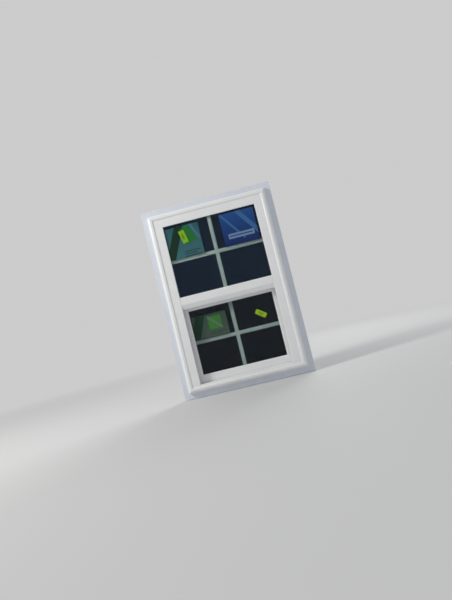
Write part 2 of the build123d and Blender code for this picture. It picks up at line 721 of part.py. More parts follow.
def sash_seals():
    """Pile strips up both stiles from the pivot, and a blade under the bottom rail."""
    x = SASH_HALF - WALL - 2 * SEAL_SLOT
    y = LEG_BACK_Y + SEAL_CLEARANCE
    side = box(x, x + SEAL_SLOT, y, SASH_FRONT_Y + SEAL_SLOT_DEPTH, PIVOT_Z, SASH_HIGH - SASH_POCKET)
    end = SASH_HALF - SASH_POCKET
    low = SASH_LOW - SILL_GAP + SEAL_CLEARANCE
    y = SASH_FRONT_Y + WALL
    blade = box(-end, end, y, y + SEAL_BLADE, low, SASH_LOW + SEAL_SLOT_DEPTH)
    return Compound([side.solid(), mirrored(side).solid(), blade.solid()])


def pivot_cam():
    """Right-hand cam that turns in the balance shoe and is driven by the pivot bar."""
    x0 = POCKET_X0 + SHOE_GAP
    cam = rod_x(x0, x0 + POCKET_DEPTH / 2, PIVOT_Y, PIVOT_Z, CAM_RADIUS)
    half_y = TONGUE_WIDTH / 2 + TONGUE_CLEARANCE
    half_z = TONGUE_THICKNESS / 2 + TONGUE_CLEARANCE
    reach = x0 + POCKET_DEPTH / 2 - WALL
    return cam - box(x0 - PAST, reach, PIVOT_Y - half_y, PIVOT_Y + half_y, PIVOT_Z - half_z, PIVOT_Z + half_z)


def balance_shoe():
    """Right-hand shoe that slides in the jamb's pocket and carries the sash on its cam."""
    x0, x1 = POCKET_X0 + SHOE_GAP, POCKET_X1 - SHOE_GAP
    y0, y1 = POCKET_Y0 + SHOE_GAP, POCKET_Y1 - SHOE_GAP
    z0 = PIVOT_Z - SHOE_DROP
    shoe = box(x0, x1, y0, y1, z0, z0 + SHOE_HEIGHT)
    shoe = chamfer(shoe.edges().filter_by(Axis.Z), SHOE_CHAMFER)
    bore_end = x0 + POCKET_DEPTH / 2 + CAM_CLEARANCE
    shoe -= rod_x(x0 - PAST, bore_end, PIVOT_Y, PIVOT_Z, CAM_RADIUS + CAM_CLEARANCE)
    brake = PIVOT_Z + CAM_RADIUS + CAM_CLEARANCE
    top = z0 + SHOE_HEIGHT + PAST
    shoe -= box(x0 - PAST, x1 + PAST, PIVOT_Y - WALL / 2, PIVOT_Y + WALL / 2, brake - PAST, top)
    return shoe


def pivot_bar():
    """Right-hand pivot bar: a plate on the stile's edge with a tongue into the cam."""
    x0 = SASH_HALF
    half = PLATE_WIDTH / 2
    z0, z1 = PIVOT_Z - PLATE_BELOW, PIVOT_Z + PLATE_ABOVE
    plate = box(x0, x0 + SASH_GAP / 2, PIVOT_Y - half, PIVOT_Y + half, z0, z1)
    end = POCKET_X0 + SHOE_GAP + POCKET_DEPTH / 2 - WALL - TONGUE_END_GAP
    half_y, half_z = TONGUE_WIDTH / 2, TONGUE_THICKNESS / 2
    tongue = box(x0, end, PIVOT_Y - half_y, PIVOT_Y + half_y, PIVOT_Z - half_z, PIVOT_Z + half_z)
    return plate + tongue


def coil_housing():
    """Right-hand housing of the coil spring, above the shoe's travel and clear of the tilt latch's bolt."""
    gap = SEAL_CLEARANCE
    x0, x1 = HOUSING_X0, POCKET_X1 - gap
    y0, y1 = POCKET_Y0 + gap, POCKET_Y1 - gap
    high = HOUSING_LOW + HOUSING_HEIGHT
    case = box(x0, x1, y0, y1, HOUSING_LOW, high)
    wall = HOUSING_WALL
    case -= box(x0 + wall, x1 - wall, y0 + wall, y1 - wall, HOUSING_LOW - PAST, high - wall)
    case += rod_x(x0, x1, COIL_Y, COIL_Z, COIL_RADIUS - COIL_TURNS_DEPTH - gap)
    case -= rod_x(x0 - PAST, x1 + PAST, COIL_Y, COIL_Z, SCREW_RADIUS)
    return case - rod_x(x0 - PAST, x0 + SCREW_HEAD, COIL_Y, COIL_Z, SCREW_HEAD_RADIUS)


def coil_roll():
    """Right-hand spring's turns, round the hub of its housing."""
    half = RIBBON_WIDTH / 2
    reach = half + PAST
    roll = rod_x(COIL_X - half, COIL_X + half, COIL_Y, COIL_Z, COIL_RADIUS)
    return roll - rod_x(COIL_X - reach, COIL_X + reach, COIL_Y, COIL_Z, COIL_RADIUS - COIL_TURNS_DEPTH)


def coil_ribbon():
    """Right-hand spring's straight run, from its turns down to the shoe."""
    half = RIBBON_WIDTH / 2
    y1 = COIL_Y - COIL_RADIUS - RUNNING
    z0 = PIVOT_Z - SHOE_DROP + SHOE_HEIGHT
    return box(COIL_X - half, COIL_X + half, y1 - RIBBON_THICKNESS, y1, z0, COIL_Z)


def screw_down(x, y, z):
    """Pan-head screw driven down through a face at z."""
    shank = rod(x, y, z - SCREW_LENGTH + SCREW_HEAD, z, SCREW_RADIUS)
    return shank + rod(x, y, z, z + SCREW_HEAD, SCREW_HEAD_RADIUS)


def balance_screw():
    """Screw through the hub of the right-hand coil housing into the jamb."""
    x0 = HOUSING_X0
    head = rod_x(x0, x0 + SCREW_HEAD, COIL_Y, COIL_Z, SCREW_HEAD_RADIUS)
    return head + rod_x(x0, POCKET_X1 + WALL, COIL_Y, COIL_Z, SCREW_RADIUS)


def keeper_screw_places():
    """Keeper screws, one each side of its hook."""
    x = KEEPER_LENGTH / 2 - SCREW_HEAD_RADIUS - SCREW_MARGIN
    y = UPPER_BACK_Y + BEAD_LEAF + SCREW_HEAD_RADIUS + HEAD_CLEARANCE
    return [(-x, y), (x, y)]


def lock_screw_places():
    """Lock screws at the ends of its housing."""
    x = LOCK_LENGTH / 2 - SCREW_HEAD_RADIUS - SCREW_MARGIN
    return [(-x, LOCK_Y + LOCK_SCREW_SETBACK), (x, LOCK_Y + LOCK_SCREW_SETBACK)]


def latch_screw_places():
    """One screw at the inner end of each tilt latch."""
    x = SASH_HALF - LATCH_END_GAP - LATCH_LENGTH + SCREW_HEAD_RADIUS + SCREW_MARGIN
    return [(-x, PIVOT_Y), (x, PIVOT_Y)]


def ring_sector(r0, r1, angle, half_angle, z0, z1):
    """Part of a flat ring about the lock's axis."""
    a0, a1 = radians(angle - half_angle), radians(angle + half_angle)
    middle = radians(angle)

    def at(radius, a):
        return Vector(radius * cos(a), LOCK_Y + radius * sin(a))

    edges = [
        Edge.make_three_point_arc(at(r1, a0), at(r1, middle), at(r1, a1)),
        Edge.make_line(at(r1, a1), at(r0, a1)),
        Edge.make_three_point_arc(at(r0, a1), at(r0, middle), at(r0, a0)),
        Edge.make_line(at(r0, a0), at(r1, a0)),
    ]
    return Pos(0, 0, z0) * extrude(make_face(edges), amount=z1 - z0)


def lock_housing():
    """Housing of the sash lock, open towards the meeting rail."""
    z0 = SASH_HIGH
    top = z0 + CAM_HEIGHT + LOCK_ROOM + LOCK_SHELL
    y0, y1 = SASH_FRONT_Y + LOCK_FRONT_SETBACK, SASH_BACK_Y - LOCK_BACK_SETBACK
    case = box(-LOCK_LENGTH / 2, LOCK_LENGTH / 2, y0, y1, z0, top)
    case = chamfer(case.edges().group_by(Axis.Z)[-1], LOCK_CHAMFER)
    room = rod(0, LOCK_Y, z0 - PAST, top - LOCK_SHELL, CAM_LIP_OUT + LOCK_ROOM)
    reach = LOCK_LENGTH / 2
    case -= room & box(-reach, reach, y0 - CAM_LIP_OUT, y1 - LOCK_SHELL, z0 - PAST, top)
    case -= rod(0, LOCK_Y, z0, top + PAST, SHAFT_RADIUS + RUNNING)
    for x, y in lock_screw_places():
        case -= rod(x, y, z0 - PAST, top + PAST, SCREW_RADIUS)
        case -= rod(x, y, z0 + LOCK_SHELL, top + PAST, SCREW_HEAD_RADIUS + HEAD_CLEARANCE)
    return case


def lock_cam():
    """Cam of the lock, drawn at rest: turned in over the sash, its lip clear of the keeper."""
    z0 = SASH_HIGH
    angle = LOCK_TURN - 90
    high = z0 + CAM_HEIGHT
    cam = rod(0, LOCK_Y, z0 + CAM_LIFT, high, CAM_HUB)
    cam += ring_sector(CAM_HUB - PAST, CAM_LIP_OUT, angle, CAM_LIP_ANGLE / 2, high - CAM_PLATE, high)
    low = z0 + KEEPER_PLATE + CAM_LIP_LIFT
    cam += ring_sector(CAM_LIP_IN, CAM_LIP_OUT, angle, CAM_LIP_ANGLE / 2, low, high)
    return cam - rod(0, LOCK_Y, z0, high + PAST, SHAFT_RADIUS)


def lock_lever():
    """Lever of the lock with its shaft: it points into the room when open, and along the rail when locked."""
    z0 = SASH_HIGH + CAM_HEIGHT + LOCK_ROOM + LOCK_SHELL + LEVER_LIFT
    shaft = rod(0, LOCK_Y, SASH_HIGH + CAM_LIFT, z0 + PAST, SHAFT_RADIUS)
    hub = rod(0, LOCK_Y, z0, z0 + LEVER_THICKNESS, LEVER_HUB)
    half = LEVER_WIDTH / 2
    blade = Rot(0, 0, LEVER_REST) * box(0, LEVER_LENGTH, -half, half, z0, z0 + LEVER_THICKNESS)
    blade = fillet(blade.edges().filter_by(Axis.Z), LEVER_ROUND)
    return shaft + hub + Pos(0, LOCK_Y, 0) * blade


def sash_keeper():
    """Keeper on the meeting rail's ledge: a plate with the curved wall that the cam hooks behind."""
    z0 = SASH_HIGH
    y0 = UPPER_BACK_Y + BEAD_LEAF + RUNNING
    wall_r1 = CAM_LIP_IN - KEEPER_CLEARANCE
    wall_r0 = wall_r1 - KEEPER_WALL
    plate = box(-KEEPER_LENGTH / 2, KEEPER_LENGTH / 2, y0, LOCK_Y - wall_r0, z0, z0 + KEEPER_PLATE)
    hook = ring_sector(wall_r0, wall_r1, -90, CAM_LIP_ANGLE / 2, z0, z0 + KEEPER_RISE)
    body = plate + hook
    top = z0 + KEEPER_PLATE + PAST
    return body - [rod(x, y, z0 - PAST, top, SCREW_RADIUS) for x, y in keeper_screw_places()]


def latch_housing():
    """Right-hand tilt latch housing, on top of the sash."""
    z0 = SASH_HIGH
    z1 = z0 + LATCH_HEIGHT
    x1 = SASH_HALF - LATCH_END_GAP
    half = LATCH_WIDTH / 2
    case = box(x1 - LATCH_LENGTH, x1, PIVOT_Y - half, PIVOT_Y + half, z0, z1)
    case = chamfer(case.edges().group_by(Axis.Z)[-1], LATCH_CHAMFER)
    bore = BOLT_WIDTH / 2 + SLIDER_GAP
    start = LATCH_TIP - SLIDER_LENGTH - SLIDER_END_GAP
    roof = z1 - LATCH_SHELL + SLIDER_GAP
    case -= box(start, x1 + PAST, PIVOT_Y - bore, PIVOT_Y + bore, z0 + LATCH_SHELL, roof)
    slot = TAB_WIDTH / 2 + SLIDER_GAP
    slot_x1 = LATCH_TIP - TAB_SETBACK + LATCH_TRAVEL + SLIDER_END_GAP
    slot_x0 = LATCH_TIP - TAB_SETBACK - TAB_LENGTH - SLIDER_END_GAP
    case -= box(slot_x0, slot_x1, PIVOT_Y - slot, PIVOT_Y + slot, z0 + LATCH_SHELL, z1 + PAST)
    for x, y in latch_screw_places():
        case -= rod(x, y, z0 - PAST, z1 + PAST, SCREW_RADIUS)
        case -= rod(x, y, z0 + LATCH_SHELL, z1 + PAST, SCREW_HEAD_RADIUS + HEAD_CLEARANCE)
    return case


def latch_slider():
    """Right-hand tilt latch slider, drawn back: a bolt that slides out into the jamb, with a thumb tab."""
    z0 = SASH_HIGH + LATCH_SHELL + SLIDER_GAP
    top = SASH_HIGH + LATCH_HEIGHT
    half = BOLT_WIDTH / 2
    x0 = LATCH_TIP - SLIDER_LENGTH
    bolt = box(x0, LATCH_TIP, PIVOT_Y - half, PIVOT_Y + half, z0, top - LATCH_SHELL)
    x1 = LATCH_TIP - TAB_SETBACK
    half = TAB_WIDTH / 2
    return bolt + box(x1 - TAB_LENGTH, x1, PIVOT_Y - half, PIVOT_Y + half, z0, top + TAB_RISE)


def sticker(place, light, layer=0):
    """Thin film on the outer face of a light, or on another sticker."""
    across, up, width, height, turn = place
    half = (light.high - light.low) / 2
    spot = (across * light.half, light.front_y - layer * STICKER, light.low + half + up * half)
    plane = Plane(origin=spot, x_dir=(1, 0, 0), z_dir=(0, -1, 0))
    return extrude(plane * Rectangle(width * light.half, height * half, rotation=turn), amount=STICKER)


def screws(places, z):
    """Screws at several places, as separate solids."""
    return [screw_down(x, y, z).solid() for x, y in places]


def build():
    """Every piece by its node name."""
    nodes = {
        "frame_head": frame_head(),
        "frame_sill": frame_sill(),
        "meeting_rail": meeting_rail(),
        "rail_seal": rail_seal(),
        "trim_head": trim_head(),
        "trim_sill": trim_sill(),
        "sash_top_rail": sash_top_rail(),
        "sash_bottom_rail": sash_bottom_rail(),
        "sash_seals": sash_seals(),
        "sash_keeper": sash_keeper(),
        "lock_housing": lock_housing(),
        "lock_cam": lock_cam(),
        "lock_lever": lock_lever(),
        "upper_label_left": sticker(UPPER_LABEL_LEFT, UPPER),
        "upper_label_right": sticker(UPPER_LABEL_RIGHT, UPPER),
        "upper_tag": sticker(UPPER_TAG, UPPER, 1),
        "lower_label": sticker(LOWER_LABEL, LOWER),
        "lower_tag": sticker(LOWER_TAG, LOWER),
    }
    jamb_hole = rod_x(POCKET_X1, POCKET_X1 + WALL, COIL_Y, COIL_Z, SCREW_RADIUS)
    pairs = {
        "frame_jamb": frame_jamb() - jamb_hole,
        "trim_side": trim_side(),
        "sash_stile": sash_stile(),
        "pivot_bar": pivot_bar(),
        "pivot_cam": pivot_cam(),
        "balance_shoe": balance_shoe(),
        "coil_housing": coil_housing(),
        "coil_roll": coil_roll(),
        "coil_ribbon": coil_ribbon(),
        "tilt_latch_housing": latch_housing(),
        "tilt_latch_slider": latch_slider(),
    }
    for name, piece in pairs.items():
        nodes[name + "_right"] = piece
        nodes[name + "_left"] = mirrored(piece)
    upper_beads = UPPER.beads(BEAD_REACH, BEAD_LEAF, BEAD_TIP, BEAD_CROWN)
    lower_beads = LOWER.beads(SASH_BEAD_REACH, SASH_BEAD, SASH_BEAD_TIP, SASH_BEAD_CROWN)
    for part, light, beads in (("upper", UPPER, upper_beads), ("lower", LOWER, lower_beads)):
        nodes[part + "_glass_outer"] = light.pane(True)
        nodes[part + "_glass_inner"] = light.pane(False)
        nodes[part + "_spacer"] = light.spacer()
        nodes[part + "_grille"] = light.grille()
        nodes[part + "_setting_blocks"] = light.blocks()
        for place, bead in zip(("foot", "head", "right", "left"), beads):
            nodes[part + "_bead_" + place] = bead
    balance = balance_screw()
    keeper = screws(keeper_screw_places(), SASH_HIGH + KEEPER_PLATE)
    nodes["frame_screws"] = Compound(keeper + [balance.solid(), mirrored(balance).solid()])
    lock = screws(lock_screw_places(), SASH_HIGH + LOCK_SHELL)
    latch = screws(latch_screw_places(), SASH_HIGH + LATCH_SHELL)
    nodes["sash_screws"] = Compound(lock + latch)
    return nodes


os.makedirs("parts", exist_ok=True)
for node, piece in build().items():
    export_step(piece, "parts/" + node + ".step")
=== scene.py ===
"""Finishes of a single-hung sash window: white vinyl, sealed glass, catches, screws and film labels.

It also sets up the studio that the window stands in. Metres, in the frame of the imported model: +Z is up,
+X is to the right as seen from outside, and the outside faces -Y.
"""

import math

import bpy
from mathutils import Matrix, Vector


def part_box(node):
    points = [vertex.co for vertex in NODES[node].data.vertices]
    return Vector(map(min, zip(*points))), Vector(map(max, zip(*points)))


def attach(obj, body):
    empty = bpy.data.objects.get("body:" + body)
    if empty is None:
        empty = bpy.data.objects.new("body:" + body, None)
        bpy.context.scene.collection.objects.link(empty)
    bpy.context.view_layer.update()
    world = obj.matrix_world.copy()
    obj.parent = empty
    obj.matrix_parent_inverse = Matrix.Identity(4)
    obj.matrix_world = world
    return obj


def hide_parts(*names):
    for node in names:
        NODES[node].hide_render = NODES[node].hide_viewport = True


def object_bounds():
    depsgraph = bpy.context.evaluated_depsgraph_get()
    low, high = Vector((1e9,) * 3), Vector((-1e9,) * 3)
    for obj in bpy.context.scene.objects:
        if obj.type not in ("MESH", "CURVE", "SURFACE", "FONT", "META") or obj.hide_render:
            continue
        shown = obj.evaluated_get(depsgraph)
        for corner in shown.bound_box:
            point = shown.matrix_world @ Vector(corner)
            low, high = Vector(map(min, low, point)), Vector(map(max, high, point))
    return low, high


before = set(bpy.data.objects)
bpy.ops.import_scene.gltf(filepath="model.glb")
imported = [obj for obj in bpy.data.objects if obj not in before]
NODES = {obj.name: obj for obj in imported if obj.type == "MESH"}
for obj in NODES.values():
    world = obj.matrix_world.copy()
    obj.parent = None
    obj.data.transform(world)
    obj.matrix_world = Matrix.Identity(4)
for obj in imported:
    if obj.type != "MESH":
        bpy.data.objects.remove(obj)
CAD_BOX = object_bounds()

bl_info = {
    "name": "Sash window finishes",
    "version": (1, 0, 0),
    "blender": (4, 5, 0),
    "location": "View3D > Sidebar > Sash Window",
    "description": "Dresses the parts of a vinyl sash window and sets up its studio",
    "category": "Material",
}

MM = 0.001
SIDES = ("_left", "_right")

# Points closer than MERGE become one, faces within FLAT_ANGLE become one, edges above ROUND_ANGLE are
# rounded, and edges below SMOOTH_ANGLE are shaded smooth
MERGE = 0.001 * MM
FLAT_ANGLE = math.radians(1)
ROUND_ANGLE = math.radians(50)
SMOOTH_ANGLE = math.radians(35)
ROUND_STEPS = 3

# Facets round a screw's head and up its crown, and how far the tip and the recess narrow
HEAD_SIDES = 40
CROWN_STEPS = 5
TIP_TAPER = 0.3
RECESS_TAPER = 0.6

# Where the photograph was taken from: the camera's place, and its turns in degrees about X, Y and Z
CAMERA_PLACE = (0.1345, -2.4556, -0.1354)
CAMERA_TURNS = (92.237, 13.837, 4.046)

# Soft boxes: place and width
KEY_BOX = ((-2.5, -1.3, 1.9), 0.6)
FILL_BOX = ((2.4, -1.9, 0.4), 2.2)
REAR_BOX = ((1.2, 2.5, 1.6), 1.8)

# The floor, out to where it has faded into the background
FLOOR_REACH = 14.0
FLOOR_SIDES = 96
FADE_START = 0.9
FADE_END = 3.4


def linear(colour):
    """Linear red, green and blue of an sRGB hex colour."""
    parts = [int(colour[i:i + 2], 16) / 255 for i in (1, 3, 5)]
    return tuple(c / 12.92 if c <= 0.04045 else ((c + 0.055) / 1.055) ** 2.4 for c in parts)


def rgba(colour):
    """A property's colour with full opacity, as a colour socket takes it."""
    return (*colour, 1.0)


def add(tree, kind, links=None, **settings):
    """Adds a node with its settings. Each entry of links is a socket's value, or the output that feeds it."""
    made = tree.nodes.new("ShaderNode" + kind)
    for name, value in settings.items():
        setattr(made, name, value)
    for name, value in (links or {}).items():
        if isinstance(value, bpy.types.NodeSocket):
            tree.links.new(value, made.inputs[name])
        else:
            made.inputs[name].default_value = value
    return made


def new_material(name):
    """Empty node material and its tree, with the output in place."""
    material = bpy.data.materials.new(name)
    material.use_nodes = True
    material.node_tree.nodes.clear()
    return material, material.node_tree


def finish(tree, shader):
    """Joins a shader to the material's output."""
    add(tree, "OutputMaterial", {"Surface": shader})


def grain(tree, size, stretch=(1, 1, 1), detail=3.0, roughness=0.5):
    """Noise whose grain is size metres across, drawn out where stretch is small."""
    place = add(tree, "TexCoord").outputs["Object"]
    drawn = add(tree, "Mapping", {"Vector": place, "Scale": stretch}).outputs["Vector"]
    links = {"Vector": drawn, "Scale": 1 / size, "Detail": detail, "Roughness": roughness}
    return add(tree, "TexNoise", links).outputs["Fac"]


def ramp(tree, value, low, high, to_low=0.0, to_high=1.0):
    """Value moved from the span low..high to another span, and held inside it."""
    links = {"Value": value, "From Min": low, "From Max": high, "To Min": to_low, "To Max": to_high}
    return add(tree, "MapRange", links).outputs["Result"]


def blend_colours(tree, share, first, second, mode="MIX"):
    """Mix of two colours by a share."""
    made = add(tree, "Mix", data_type="RGBA", blend_type=mode)
    for socket, value in ((made.inputs[0], share), (made.inputs[6], first), (made.inputs[7], second)):
        if isinstance(value, bpy.types.NodeSocket):
            tree.links.new(value, socket)
        else:
            socket.default_value = value
    return made.outputs[2]


def compute(tree, operation, first, second=0.0):
    """One step of arithmetic."""
    return add(tree, "Math", {0: first, 1: second}, operation=operation).outputs[0]


def wear(material, *names):
    """Gives a material to CAD nodes through their material slots."""
    for name in names:
        piece = NODES[name]
        if not piece.material_slots:
            piece.data.materials.append(material)
        for slot in piece.material_slots:
            slot.material = material


def pair(name):
    """Left and right node of a piece that comes twice."""
    return [name + side for side in SIDES]


def softened(name, body, material, edge):
    """Copy of a cast or moulded CAD piece with its sharp edges rounded, which then stands for that piece."""
    piece = bpy.data.objects.new(name + "_softened", NODES[name].data.copy())
    bpy.context.collection.objects.link(piece)
    select_only(piece)
    bpy.ops.object.mode_set(mode="EDIT")
    bpy.ops.mesh.select_all(action="SELECT")
    bpy.ops.mesh.remove_doubles(threshold=MERGE)
    bpy.ops.mesh.dissolve_limited(angle_limit=FLAT_ANGLE)
    bpy.ops.object.mode_set(mode="OBJECT")
    rounding = {"width": edge, "segments": ROUND_STEPS, "angle_limit": ROUND_ANGLE}
    apply_modifier(piece, "BEVEL", use_clamp_overlap=False, **rounding)
    bpy.ops.object.shade_smooth_by_angle(angle=SMOOTH_ANGLE)
    piece.data.materials.clear()
    piece.data.materials.append(material)
    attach(piece, body)
    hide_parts(name)
    return piece


def select_only(*pieces):
    """Selects these objects alone and makes the first one active."""
    bpy.ops.object.select_all(action="DESELECT")
    for piece in pieces:
        piece.select_set(True)
    bpy.context.view_layer.objects.active = pieces[0]


def apply_modifier(piece, kind, **settings):
    """Adds a modifier to a piece and applies it."""
    select_only(piece)
    modifier = piece.modifiers.new(kind.lower(), kind)
    for name, value in settings.items():
        setattr(modifier, name, value)
    bpy.ops.object.modifier_apply(modifier=modifier.name)


def corners(piece):
    """Lowest and highest corner of a mesh whose object sits at the origin."""
    points = [vertex.co for vertex in piece.data.vertices]
    low = Vector([min(point[axis] for point in points) for axis in range(3)])
    high = Vector([max(point[axis] for point in points) for axis in range(3)])
    return low, high


def loose_boxes(name):
    """Corners of each loose solid in a CAD node, read from a copy that is then removed."""
    copy = bpy.data.objects.new("loose", NODES[name].data.copy())
    bpy.context.collection.objects.link(copy)
    select_only(copy)
    bpy.ops.object.mode_set(mode="EDIT")
    bpy.ops.mesh.select_all(action="SELECT")
    bpy.ops.mesh.remove_doubles(threshold=MERGE)
    bpy.ops.mesh.separate(type="LOOSE")
    bpy.ops.object.mode_set(mode="OBJECT")
    boxes = [corners(part) for part in bpy.context.selected_objects]
    bpy.ops.object.delete()
    return boxes


def colour_field(name, description, value):
    """A colour that a user may change, given as sRGB hex."""
    return bpy.props.FloatVectorProperty(
        name=name, description=description, subtype="COLOR", size=3, min=0, max=1, default=linear(value)
    )


class WindowColours(bpy.types.PropertyGroup):
    """Colours of the window's pieces."""

    vinyl: colour_field("Vinyl", "White of the extruded frame and sash", "#EFF0F1")
    # The trim is white vinyl; the blue-grey cast of this colour, darker than the frame's white, is painted
    # shade
    trim: colour_field("Trim vinyl", "White of the J-channel trim round the frame", "#DDE3ED")
    dust: colour_field("Dust", "Dust that settles on ledges that face up", "#B4AFA4")
    outer_glass: colour_field("Outer glass", "Clear outer pane seen through", "#F1F6F5")
    # Inner panes: their dark colours are painted shade of the unlit room behind, and the upper pane's blue
    # cast is a painted sky reflection
    upper_pane_painted_shade_and_reflection: colour_field("Upper inner pane", "Dark, for the unlit room behind the upper light", "#16212E")
    lower_pane_painted_shade: colour_field("Lower inner pane", "Dark, for the unlit room behind the lower light", "#171614")
    coating: colour_field("Coating", "Tint that the glass coating gives to reflections", "#A9BEE0")
    # The grille bars are white; the grey-green written here is painted shade behind the glass
    grille: colour_field("Grille paint", "Paint of the bars between the panes", "#929E9B")
    spacer: colour_field("Spacer metal", "Aluminium of the spacer between the panes", "#A9ADAF")
    catch: colour_field("Catch paint", "White paint of the sash lock and its keeper", "#EBEBE8")
    nylon: colour_field("Latch nylon", "Moulded nylon of the tilt latches", "#E6E7E4")
    shoe: colour_field("Balance nylon", "Moulded nylon of the balance shoes and spring housings", "#4C5054")
    steel: colour_field("Spring steel", "Bare steel of the springs and screws", "#B9BBBD")
    zinc: colour_field("Zinc", "Zinc-plated pivot bars", "#AEB0AA")
    pile: colour_field("Pile", "Woven pile of the seals", "#8F9294")
    rubber: colour_field("Rubber", "Setting blocks under the glass", "#202122")


def length_field(name, description, value):
    """A length that a user may change, in metres."""
    return bpy.props.FloatProperty(name=name, description=description, default=value, min=0, unit="LENGTH")


def power_field(name, description, value):
    """A lamp's power that a user may change, in watts."""
    return bpy.props.FloatProperty(name=name, description=description, default=value, min=0, unit="POWER")


def share_field(name, description, value):
    """A brightness that a user may change, where 1 is white."""
    return bpy.props.FloatProperty(name=name, description=description, default=value, min=0, max=1)


class ScrewSizes(bpy.types.PropertyGroup):
    """Pan-head screw with a cross recess."""

    head_radius: length_field("Head radius", "Radius of the pan head", 2.6 * MM)
    head_height: length_field("Head height", "Height of the pan head", 1.6 * MM)
    crown: length_field("Crown", "Rounding of the head's upper edge", 0.9 * MM)
    shank_radius: length_field("Shank radius", "Radius of the shank", 1.6 * MM)
    tip: length_field("Tip", "Length of the tapered tip", 2.0 * MM)
    recess_reach: length_field("Recess reach", "Length of each slot of the cross recess", 3.1 * MM)
    recess_width: length_field("Recess width", "Width of each slot of the cross recess", 0.75 * MM)
    recess_depth: length_field("Recess depth", "Depth of the cross recess", 1.0 * MM)


class StudioSizes(bpy.types.PropertyGroup):
    """Light and floor of the studio."""

    floor: colour_field("Floor", "Colour of the floor", "#CFD0D1")
    background: share_field("Background", "Brightness of the world as seen past the window", 0.60)
    ambient: share_field("Ambient", "Strength of the even light from all round", 0.35)
    key: power_field("Key lamp", "Power of the main soft lamp", 72.0)
    fill: power_field("Fill lamp", "Power of the cool lamp on the right", 6.0)
    rear: power_field("Rear lamp", "Power of the lamp on the room side", 45.0)
    drop: length_field("Floor gap", "Gap between the trim's lower edge and the floor", 2 * MM)
    lens: bpy.props.FloatProperty(
        name="Lens", description="Focal length on a 36 mm sensor", default=29.16, min=1, unit="CAMERA"
    )


def extruded_vinyl(name, colour, upright, roughness):
    """Extruded rigid PVC: satin white, with faint die lines along its length and dust on upward ledges."""
    colours = bpy.context.scene.window_colours
    material, tree = new_material(name)
    # Die lines about 1.5 mm apart, drawn out 200 times along the member
    run = (1, 1, 0.005) if upright else (0.005, 1, 1)
    lines = grain(tree, 1.5 * MM, run, 2.0)
    cloud = ramp(tree, grain(tree, 70 * MM, detail=4.0), 0.35, 0.7)
    shade = blend_colours(tree, cloud, rgba(colour), rgba([c * 0.965 for c in colour]))
    up = add(tree, "SeparateXYZ", {"Vector": add(tree, "NewGeometry").outputs["Normal"]}).outputs["Z"]
    ledge = ramp(tree, up, 0.6, 0.95)
    specks = ramp(tree, grain(tree, 5 * MM, detail=6.0, roughness=0.75), 0.42, 0.72, 0.0, 0.26)
    dusty = blend_colours(tree, compute(tree, "MULTIPLY", ledge, specks), shade, rgba(colours.dust))
    bump = add(tree, "Bump", {"Strength": 0.25, "Distance": 0.06 * MM, "Height": lines})
    gloss = ramp(tree, lines, 0.3, 0.7, roughness - 0.05, roughness + 0.06)
    links = {"Base Color": dusty, "Roughness": gloss, "IOR": 1.53, "Normal": bump.outputs["Normal"]}
    finish(tree, add(tree, "BsdfPrincipled", links).outputs[0])
    return material


def float_glass(name, colour, smear):
    """Float glass with a coating that cuts its glare, so its IOR is held low.

    It has faint smears, and lamps shine through it.
    """
    material, tree = new_material(name)
    smears = ramp(tree, grain(tree, 60 * MM, (1, 1, 0.35), 5.0, 0.65), 0.5, 0.8, 0.0, smear)
    glass = add(tree, "BsdfPrincipled", {
        "Base Color": rgba(colour),
        "Roughness": smears,
        "IOR": 1.24,
        "Specular Tint": rgba(bpy.context.scene.window_colours.coating),
        "Transmission Weight": 1.0,
    })
    clear = add(tree, "BsdfTransparent", {"Color": rgba(colour)})
    shadow = add(tree, "LightPath").outputs["Is Shadow Ray"]
    finish(tree, add(tree, "MixShader", {0: shadow, 1: glass.outputs[0], 2: clear.outputs[0]}).outputs[0])
    return material


def coated_metal(name, colour, metallic, roughness, brushing=(1, 1, 1), texture=0.3 * MM, depth=0.03 * MM):
    """Painted, plated or bare metal: a fine texture from coating or rolling breaks up its gloss."""
    material, tree = new_material(name)
    fine = grain(tree, texture, brushing, 2.0)
    patches = ramp(tree, grain(tree, 25 * MM, detail=3.0), 0.35, 0.7)
    shade = blend_colours(tree, patches, rgba(colour), rgba([c * 0.9 for c in colour]))
    bump = add(tree, "Bump", {"Strength": 0.3, "Distance": depth, "Height": fine})
    gloss = ramp(tree, fine, 0.25, 0.75, roughness - 0.06, roughness + 0.08)
    links = {"Base Color": shade, "Metallic": metallic, "Roughness": gloss, "Normal": bump.outputs["Normal"]}
    finish(tree, add(tree, "BsdfPrincipled", links).outputs[0])
    return material


def moulded_nylon(name, colour):
    """Injection-moulded nylon: an even colour, slightly waxy, with a fine spark-eroded texture."""
    material, tree = new_material(name)
    spark = grain(tree, 0.5 * MM, detail=1.0)
    patches = ramp(tree, grain(tree, 18 * MM, detail=3.0), 0.3, 0.7)
    shade = blend_colours(tree, patches, rgba(colour), rgba([c * 0.94 for c in colour]))
    bump = add(tree, "Bump", {"Strength": 0.25, "Distance": 0.04 * MM, "Height": spark})
    gloss = ramp(tree, spark, 0.3, 0.7, 0.42, 0.55)
    links = {"Base Color": shade, "Roughness": gloss, "IOR": 1.53, "Normal": bump.outputs["Normal"]}
    finish(tree, add(tree, "BsdfPrincipled", links).outputs[0])
    return material


def woven_pile(name, colour):
    """Polypropylene pile: dense short hairs across the strip, dull with a soft sheen."""
    material, tree = new_material(name)
    hairs = grain(tree, 0.6 * MM, (1, 0.1, 1), 2.0, 0.8)
    shade = blend_colours(tree, hairs, rgba([c * 0.45 for c in colour]), rgba(colour))
    bump = add(tree, "Bump", {"Strength": 0.9, "Distance": 0.4 * MM, "Height": hairs})
    links = {"Base Color": shade, "Roughness": 0.95, "Sheen Weight": 0.5, "Normal": bump.outputs["Normal"]}
    finish(tree, add(tree, "BsdfPrincipled", links).outputs[0])
    return material


